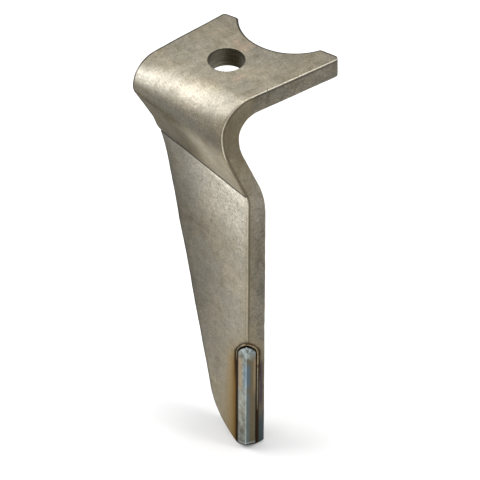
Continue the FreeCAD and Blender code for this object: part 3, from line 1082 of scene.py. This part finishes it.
steelStrokes = [
    # mottled all over
    ("cool", 1, ("cloud", 0.35, 0.65)),
    ("pink", 0.35, ("blush", 0.54, 0.74)),
    ("olive", 0.65, ("film", 0.5, 0.72)),
    ("rust", 0.45, ("rustSpots",), ("medium", 0.4, 0.6)),
    # flange, lighter than the rest; painted shade darkens it towards its end, as the glow of the
    # bend's highlight falls off, and it is darker towards its trailing side
    ("dim", 1.33, ("skin",), ("stretch", 1.5, 0.9)),
    ("dim", 0.74, ("skin",), ("x", -0.01, 0.045)),
    ("dim", 0.88, ("skin",), ("stretch", 1.0, 0.6), ("across", 0.6, 1.0)),
    # bend: a painted highlight band, softened at both ends by painted shade, and a painted glint
    # towards the shoulder
    ("worn", 0.42, ("shine",)),
    ("dim", 0.7, ("skin",), ("across", 0.6, 0.95), ("stretch", 1.25, 0.3, "hill")),
    ("dim", 0.58, ("skin",), ("across", 0.78, 0.94), ("stretch", 1.5, 0.34, "hill")),
    ("dim", 0.8, ("skin",), ("across", 0.34, 0.1), ("stretch", 1.5, 0.5, "hill")),
    ("dim", 0.8, ("skin",), ("across", 0.3, 0.1), ("stretch", 2.2, 0.6, "hill")),
    ("worn", 0.6, ("skin",), ("across", 0.6, 0.95), ("stretch", 1.66, 0.25, "hill")),
    # a belt of painted shade where the bend turns under, and a warm neck with painted shade towards
    # the shoulder
    ("dim", 0.5, ("skin",), ("stretch", 1.66, 2.0), ("stretch", 3.1, 2.2)),
    ("dim", 0.5, ("neck",), ("across", 0.3, 0.62)),
    ("warm", 0.6, ("neck",)),
    # blade: painted shade along the trailing side and lower down, painted light towards the leading
    # corner and near the top, and a painted highlight on the lip
    ("dim", 0.48, ("blade",), ("across", 0.15, 0.95), ("z", -0.25, -0.16)),
    ("dim", 0.8, ("blade",), ("across", 0.88, 0.97)),
    ("dim", 0.9, ("blade",), ("z", -0.07, -0.105)),
    ("worn", 0.24, ("blade",), ("z", -0.23, -0.09), ("across", 0.45, 0.0), ("speckle", 0.2, 0.8)),
    ("worn", 0.7, ("blade",), ("z", -0.12, -0.075), ("across", 1.0, 0.15), ("speckle", 0.2, 0.75)),
    ("worn", 0.85, ("lip",), ("grain", 0.3, 0.65)),
    # leading side: painted shade with darker streaks and patches along the height, more painted shade
    # at the bend, and painted light at the knee
    ("dim", 0.74, ("side",)),
    ("dim", 0.78, ("side",), ("streak", 0.4, 0.75)),
    ("dim", 0.75, ("side",), ("sidePatch", 0.62, 0.4)),
    ("dim", 0.62, ("side",), ("stretch", 1.9, 1.3, "hill")),
    ("worn", 0.13, ("side",), ("kneeLight",)),
    ("between", (1.12, (0.78, 0.77, 0.75)), ("side",), ("speckle", 0.35, 0.65)),
    # painted shade: a dark line beside the leading corner's painted highlight, and dark far corners;
    # then the painted highlight along the leading corner, partly wear, with a painted dark line
    # beside it at the neck
    ("dim", 0.38, ("lead",), ("rim", 0.12, 0.085, "hill")),
    ("dim", 0.25, ("edge", 0.0009, 0.0003), ("rim", 0.98, 0.93), ("y", -0.0355, -0.0335)),
    ("worn", 1, ("lead",), ("rim", 0.03, 0.03, "hill"), ("cornerFade",), ("offNeck",),
     ("medium", 0.1, 0.35)),
    ("dim", 0.25, ("lead",), ("besideNeck",), ("rim", 0.05, 0.06, "hill")),
    # crease line: painted shade along the groove
    ("dim", 0.03, ("crease", 0.0001, 0.0015, "hill"), ("rim", 0.1, 0.03)),
    # fine grain and brush marks
    ("between", (0.1, 1.78), ("grain",)),
    ("between", (0.62, 1.25), ("brush",)),
]
scarStrokes = [
    ("pit", 0.6, ("pits", 0.66, 0.72)),
    ("pit", 0.62, ("blade",), ("z", -0.135, -0.085), ("across", 0.7, 0.2), ("scars", 0.57, 0.66)),
    ("stain", 0.5, ("blade",), ("across", 0.35, 0.8), ("blots", 0.46, 0.66),
     ("z", -0.125, 0.05, "hill")),
]

# heat colours round the insert; gap and wobble are in millimetres from its outline, down in
# metres below its top

heatTones = {
    # the next tone is soot with painted shade, for the pocket's gap
    "soot": tone(26, 21, 15),
    "burnt": tone(46, 31, 12),
    "brown": tone(108, 80, 36),
    "gold": tone(138, 112, 62),
    "straw": tone(142, 126, 92),
    "purple": tone(64, 52, 68),
    "blue": tone(66, 75, 78),
    "filters": (),
}
heatShape = {
    "ridgeBlend": 0.0008,        # half width of the change from the face's gap to the side's
    "archPast": 4.0,             # weight of the distance past the arch's foot
    "wobble": 1.6,               # how far the ripple noise moves the colours' edges
    "backFade": (0.011, 0.002),  # round the corner, on the blade's back
    "dull": (5.0, 2.5),          # where the surface turns dull
}
heatStrokes = [
    ("straw", 0.4, ("wobble", 14.0, 3.0), ("front",)),
    ("straw", 0.5, ("wobble", 26.0, 7.0), ("down", 0.026, 0.05), ("faceHeat",)),
    ("gold", 0.85, ("wobble", 13.0, 2.5), ("down", 0.006, 0.02), ("faceHeat",)),
    ("brown", 0.7, ("wobble", 7.5, 2.0), ("down", 0.006, 0.02), ("faceHeat",)),
    ("dim", 0.62, ("sideHeat",), ("down", 0.0, 0.02), ("gap", 7.0, 2.0)),
    ("purple", 0.85, ("sideHeat",), ("down", 0.012, 0.02), ("down", 0.056, 0.044),
     ("wobble", 3.4, 2.4, "hill")),
    ("blue", 1, ("sideHeat",), ("down", 0.046, 0.066), ("gap", 0.5, 2.0), ("gap", 9.0, 5.0)),
    ("dim", 0.72, ("sideHeat",), ("gap", 3.4, 4.4), ("down", 0.008, 0.02), ("down", 0.066, 0.056)),
    ("burnt", 0.8, ("sideHeat",), ("down", 0.03, 0.06), ("gap", 3.0, 1.0)),
    # dark ring, and the pocket's inside, painted shade with soot
    ("burnt", 0.86, ("wobble", 4.0, 2.3), ("down", 0.036, 0.02)),
    ("burnt", 0.93, ("gap", 2.6, 1.5)),
    ("soot", 1, ("gap", 0.4, 0.25)),
]


def outlineGap(f, along, down, width, arch):
    # distance from one of the insert's two sine outlines: the product of the distances above
    # and beside it over the root of their squares' sum
    share = f.node("ShaderNodeClamp", {0: f.maths("DIVIDE", along, width)}).outputs[0]
    slope = f.product(f.maths("ARCSINE", share), arch * 2 / math.pi)
    past = f.maths("MAXIMUM", f.maths("SUBTRACT", along, width), 0.0)
    above = f.maths("MAXIMUM", f.maths("SUBTRACT", slope, down), 0.0)
    above = f.maths("MULTIPLY_ADD", past, heatShape["archPast"], above)
    turn = f.node("ShaderNodeClamp", {0: f.product(down, 1 / arch), 1: -1.0, 2: 1.0}).outputs[0]
    edgeAt = f.product(f.maths("SINE", f.product(turn, math.pi / 2)), width)
    beside = f.maths("MAXIMUM", f.maths("SUBTRACT", along, edgeAt), 0.0)
    slant = f.maths("MAXIMUM", f.length(above, beside), 1e-7)
    return f.maths("DIVIDE", f.product(above, beside), slant)


def heatPlaces(f, rim, ripple):
    # distances from the insert on the blade's face and on the leading side
    s = heatShape
    down = f.maths("SUBTRACT", -insertBar["topDrop"] * mm, f.z)
    alongFace = f.maths("SUBTRACT", f.y, forging["leadY"] * mm)
    alongFace = f.maths("DIVIDE", alongFace, float(faceWay[1]))
    ridgeX = f.maths("MULTIPLY_ADD", f.z, leanTan, -forging["bladeSetback"] * mm)
    fromRidge = f.maths("SUBTRACT", f.x, ridgeX)
    alongEdge = f.maths("MULTIPLY_ADD", alongFace, -float(faceWay[0]), fromRidge)
    blend = s["ridgeBlend"]
    onEdge = f.rise(f.maths("SUBTRACT", alongEdge, alongFace), -blend, blend)
    faceGap = outlineGap(f, alongFace, down, insertBar["width"] * mm, insertBar["faceArch"] * mm)
    edgeGap = outlineGap(f, alongEdge, down, insertBar["depth"] * mm, insertBar["edgeArch"] * mm)
    gap = f.node("ShaderNodeMix", {0: onEdge, 2: faceGap, 3: edgeGap}, data_type="FLOAT").outputs[0]
    gap = f.product(gap, 1 / mm)
    shifted = f.maths("SUBTRACT", gap, s["wobble"] / 2)
    nearLead = f.rise(alongFace, *s["backFade"])
    return {
        "down": down,
        "gap": gap,
        "wobble": f.maths("MULTIPLY_ADD", ripple, s["wobble"], shifted),
        "faceHeat": f.product(f.opposite(onEdge), f.rise(rim, 0.6, 0.3)),
        "sideHeat": f.product(onEdge, nearLead),
        "front": f.maths("MAXIMUM", f.rise(rim, 0.97, 0.85), nearLead),
    }


def steelPlaces(f):
    # the places and shares that the strokes on the forging name
    places = {name: f.noise(*values) for name, values in steelNoises.items()}
    places.update({
        "x": f.x,
        "y": f.y,
        "z": f.z,
        "rim": f.attribute("rimShare"),
        "crease": f.attribute("creaseDistance"),
        "stretch": f.attribute("stretchPlace"),
        "across": f.attribute("acrossShare"),
        "edge": f.attribute("edgeDistance"),
        "radius": f.length(f.x, f.y),
        "brush": f.maths("MAXIMUM", places["brushA"], places["brushB"]),
        "rustSpots": f.maths("MAXIMUM", *(f.near(*spot) for spot in rustSpots)),
    })
    across = places["across"]
    places["later"] = f.maths("MULTIPLY_ADD", across, shineSlant, places["stretch"])
    reach = f.maths("MULTIPLY_ADD", f.rise(across, 0.6, 0.0), *lipReach)
    places["lipPlace"] = f.maths("DIVIDE", places["crease"], reach)
    fade = f.rise(f.z, cornerFade["from"], cornerFade["to"])
    places["cornerFade"] = f.maths("MULTIPLY_ADD", fade, cornerFade["loss"], 1.0)
    for name, where in steelShares.items():
        places[name] = f.cover(places, where)
    places["offNeck"] = f.opposite(places["besideNeck"])
    lights = [f.product(f.cover(places, [where]), amount) for amount, where in kneeLight]
    places["kneeLight"] = f.maths("MAXIMUM", f.maths("MAXIMUM", *lights[:2]), lights[2])
    places.update(heatPlaces(f, places["rim"], places["ripple"]))
    return places


def forgedSteel():
    f = Finish("forgedSteel")
    t = steelTones
    s = steelSurface
    places = steelPlaces(f)
    shine = places["shine"]
    medium = places["medium"]
    colour = f.lay(t["base"], steelStrokes, t, places)
    dark = f.mix(shine, *mediumMottle["dark"])
    light = f.mix(shine, *(grey(factor) for factor in mediumMottle["light"]))
    colour = f.mix(1.0, colour, f.mix(medium, dark, light), "MULTIPLY")
    colour = f.lay(colour, scarStrokes, t, places)
    turned = f.mix(f.rise(places["turning"], 0.3, 0.7), t["holeDark"], t["holeLight"])
    colour = f.mix(places["holeWall"], colour, turned)
    colour = f.lay(colour, heatStrokes, heatTones, places)

    dull = f.product(places["neck"], f.rise(places["across"], 0.25, 0.6))
    dull = f.maths("MAXIMUM", dull, f.rise(places["wobble"], *heatShape["dull"]))
    clean, matt = s["mirrorTint"]
    f.feed(f.shader.inputs["Specular Tint"], f.mix(dull, grey(clean), grey(matt)))
    height = f.product(places["grain"], s["bumpMix"][1])
    f.bump(f.maths("MULTIPLY_ADD", medium, s["bumpMix"][0], height), s["bumpDepth"])
    rough = f.node("ShaderNodeMapRange", {0: medium, 1: s["roughNoise"][0], 2: s["roughNoise"][1],
                                          3: s["roughness"][0], 4: s["roughness"][1]}).outputs[0]
    return f.finish(colour, rough, s["metallic"])


# hard metal. Its places are face, edge, across (face less edge), ridge (the larger of the two),
# down and end, all in metres

insertTones = {
    "steel": tone(86, 88, 76),
    "light": tone(153, 157, 146),
    "tan": tone(146, 124, 92),
    "border": tone(154, 132, 100),
    "brown": tone(120, 104, 78),
    "blue": tone(74, 94, 106),
    "ridge": tone(104, 124, 134),
    # the next tone paints highlights: beside the ridge, on the dome and along the lower end's edge
    "stripe": tone(178, 194, 200),
    "pale": tone(190, 194, 188),
    "olive": tone(94, 84, 60),
    "shade": tone(82, 98, 104),
    "filters": (),
}
insertSurface = {"metallic": 0.75, "roughness": 0.36, "bumpDepth": 0.0003, "bumpGrain": 0.4,
                 "ridgeBlend": 0.0004}
insertNoises = {
    "mottle": (260, 3, 4.0, 0.65),
    "patch": (150, 17),
    "scratch": (330, 19, 4.0, 0.7, (1.0, 1.0, 0.3)),
    "grain": (900, 8, 3.0, 0.7),
}
insertStrokes = [
    ("light", 1, ("mottle", 0.35, 0.65)),
    ("olive", 1, ("onEdge",), ("down", 0.006, 0.014)),
    ("brown", 0.55, ("onFace",), ("down", 0.03, 0.05), ("patch", 0.4, 0.62)),
    ("pale", 0.2, ("onFace",), ("down", 0.012, 0.03), ("down", 0.066, 0.045)),
    ("dim", 0.8, ("onFace",), ("down", 0.058, 0.07)),
    # tan borders near the top
    ("border", 0.85, ("onFace",), ("face", 0.002, 0.0052), ("down", 0.008, 0.013),
     ("down", 0.04, 0.03)),
    ("tan", 0.8, ("onEdge",), ("edge", 0.0035, 0.006), ("down", 0.008, 0.014), ("down", 0.042, 0.03)),
    # blue along the ridge, then a painted highlight stripe beside it, and painted shade on the edge
    # side
    ("ridgeBlue", 0.9, ("ridge", 0.0032, 0.001), ("down", 0.011, 0.017), ("down", 0.036, 0.027)),
    ("stripe", 0.7, ("across", 0.0004, 0.0011, "hill"), ("down", 0.0, 0.004), ("scratch", 0.3, 0.62)),
    ("shade", 0.7, ("onEdge",), ("edge", 0.003, 0.0008), ("down", 0.03, 0.04)),
    ("between", (0.6, 1.3), ("grain",)),
    # painted light on the dome over a belt of painted shade
    ("dim", 0.82, ("down", 0.0105, 0.0025, "hill")),
    ("dim", 0.38, ("onEdge",), ("edge", 0.0008, 0.0034), ("down", 0.011, 0.006)),
    ("stripe", 0.6, ("down", 0.009, 0.003), ("mottle", 0.3, 0.6)),
    # lower end: a painted highlight line above the painted shade of the underside, and painted shade
    # on the borders in the pocket
    ("stripe", 0.35, ("end", 0.0019, 0.0009, "hill")),
    ("dim", 0.15, ("end", 0.0014, 0.0006)),
    ("dim", 0.4, ("border",)),
]
# the insert's borders, where they go into the pocket and take painted shade
insertBorders = [("face", 0.0058, 0.0069), ("edge", 0.0056, 0.0064)]


def hardMetal():
    f = Finish("hardMetal")
    s = insertSurface
    places = {name: f.noise(*values) for name, values in insertNoises.items()}
    face = f.attribute("faceSide")
    edge = f.attribute("edgeSide")
    blend = s["ridgeBlend"]
    onEdge = f.rise(f.maths("SUBTRACT", edge, face), -blend, blend)
    places.update({
        "face": face,
        "edge": edge,
        "across": f.maths("SUBTRACT", face, edge),
        "ridge": f.maths("MAXIMUM", face, edge),
        "down": f.maths("SUBTRACT", -insertBar["topDrop"] * mm, f.z),
        "end": f.attribute("endDistance"),
        "onEdge": onEdge,
        "onFace": f.opposite(onEdge),
    })
    borders = [f.cover(places, [where]) for where in insertBorders]
    places["border"] = f.maths("MAXIMUM", *borders)
    t = dict(insertTones, ridgeBlue=f.mix(onEdge, insertTones["ridge"], insertTones["blue"]))
    colour = f.lay(t["steel"], insertStrokes, t, places)
    f.bump(f.maths("MULTIPLY_ADD", places["grain"], s["bumpGrain"], places["mottle"]), s["bumpDepth"])
    return f.finish(colour, s["roughness"], s["metallic"])


brazeTones = {
    "dark": tone(62, 48, 28),
    "light": tone(96, 80, 52),
    # the next tone is a painted highlight along the bead's crest
    "crest": tone(142, 126, 94),
    "cold": tone(122, 120, 110),
    "filters": (),
}
brazeSurface = {"metallic": 0.8, "roughness": 0.34, "bumpDepth": 0.0003, "mottle": (420, 4, 3.0)}
brazeStrokes = [
    ("light", 1, ("mottle", 0.4, 0.65)),
    # painted highlight along the bead's crest
    ("crest", 1, ("crest", 0.6, 0.95), ("mottle", 0.3, 0.55)),
    ("cold", 0.6, ("along", 0.5, 0.62)),
]


def brazeMetal():
    f = Finish("brazeMetal")
    s = brazeSurface
    places = {"mottle": f.noise(*s["mottle"]), "crest": f.attribute("crestShare"),
              "along": f.attribute("alongShare")}
    colour = f.lay(brazeTones["dark"], brazeStrokes, brazeTones, places)
    f.bump(places["mottle"], s["bumpDepth"])
    return f.finish(colour, s["roughness"], s["metallic"])


body.data.materials.clear()
body.data.materials.append(forgedSteel())
insert.data.materials.append(hardMetal())
bead.data.materials.append(brazeMetal())
print("materials ready")


# floor, lamps and camera

stageSetup = {
    "floorSize": 8.0,
    "floorTone": (0.8, 0.8, 0.8),
    "cameraGlow": 0.14,      # light that the floor shows to camera and mirror rays only
    "worldStrength": 0.5,
}


def buildFloor():
    size = stageSetup["floorSize"] / 2
    low = cadBox[0][2]
    grid = np.array([[-size, -size, low], [size, -size, low],
                     [size, size, low], [-size, size, low]])
    mesh = bpy.data.meshes.new("floor")
    mesh.from_pydata(grid.tolist(), [], [(0, 1, 2, 3)])
    floor = bpy.data.objects.new("floor", mesh)
    bpy.context.scene.collection.objects.link(floor)
    f = Finish("floorPaint")
    rays = f.node("ShaderNodeLightPath").outputs
    seen = f.maths("MAXIMUM", rays["Is Glossy Ray"], rays["Is Transmission Ray"])
    seen = f.maths("MAXIMUM", rays["Is Camera Ray"], seen)
    f.feed(f.shader.inputs["Emission Strength"], f.product(seen, stageSetup["cameraGlow"]))
    f.shader.inputs["Emission Color"].default_value = (1, 1, 1, 1)
    f.shader.inputs["Specular IOR Level"].default_value = 0.0
    mesh.materials.append(f.finish(stageSetup["floorTone"], 1.0, 0.0))


def buildWorld():
    world = bpy.data.worlds.new("studio")
    world.use_nodes = True
    sky = world.node_tree.nodes["Background"]
    sky.inputs["Color"].default_value = (1, 1, 1, 1)
    sky.inputs["Strength"].default_value = stageSetup["worldStrength"]
    bpy.context.scene.world = world


lamps = {
    # name: (direction from the tine, distance, size, power)
    "backLamp": ((-0.6, 0.66, 0.45), 2.0, 1.4, 33),
    "topLamp": ((0.05, 0.04, 1.0), 2.2, 0.7, 28),
    "frontLamp": ((0.44, -0.62, 0.65), 2.2, 0.5, 12),
}


def buildLamps():
    for name, (way, distance, size, power) in lamps.items():
        data = bpy.data.lights.new(name, "AREA")
        data.energy = power
        data.size = size
        lamp = bpy.data.objects.new(name, data)
        lamp.location = Vector(way).normalized() * distance
        lamp.rotation_euler = Vector(way).to_track_quat("Z", "Y").to_euler()
        bpy.context.scene.collection.objects.link(lamp)


cameraSetup = {
    "azimuth": -34.0,
    "elevation": 38.0,
    "roll": -1.2,
    "distance": 2.5,
    "pixelsPerMetre": 1793.0,      # at the origin's depth, in a picture 480 px wide
    "originPixel": (226.53, 59.71),
    "picture": 480,
    "sensor": 36.0,
}


def buildCamera():
    # the camera stands where the photograph was taken from and turns until the origin falls
    # on its pixel; the turn is small, so the shift stays at zero
    s = cameraSetup
    a = math.radians(s["azimuth"])
    e = math.radians(s["elevation"])
    back = Vector((math.sin(a) * math.cos(e), -math.cos(a) * math.cos(e), math.sin(e)))
    right = Vector((math.cos(a), math.sin(a), 0))
    up = back.cross(right)
    roll = math.radians(s["roll"])
    right, up = (right * math.cos(roll) + up * math.sin(roll),
                 up * math.cos(roll) - right * math.sin(roll))
    place = back * s["distance"]
    # point of the plane through the origin that the picture's centre shows
    dx = (s["picture"] / 2 - s["originPixel"][0]) / s["pixelsPerMetre"]
    dy = (s["originPixel"][1] - s["picture"] / 2) / s["pixelsPerMetre"]
    aim = right * dx + up * dy
    newBack = (place - aim).normalized()
    newRight = up.cross(newBack).normalized()
    newUp = newBack.cross(newRight)
    data = bpy.data.cameras.new("camera")
    data.sensor_width = s["sensor"]
    span = s["picture"] / s["pixelsPerMetre"]
    data.lens = s["sensor"] * (place - aim).length / span
    camera = bpy.data.objects.new("camera", data)
    turn = Matrix((newRight, newUp, newBack)).transposed().to_4x4()
    camera.matrix_world = Matrix.Translation(place) @ turn
    bpy.context.scene.collection.objects.link(camera)
    bpy.context.scene.camera = camera


buildFloor()
buildWorld()
buildLamps()
buildCamera()
bpy.context.scene.view_settings.view_transform = "Standard"
print("floor, lamps and camera ready")
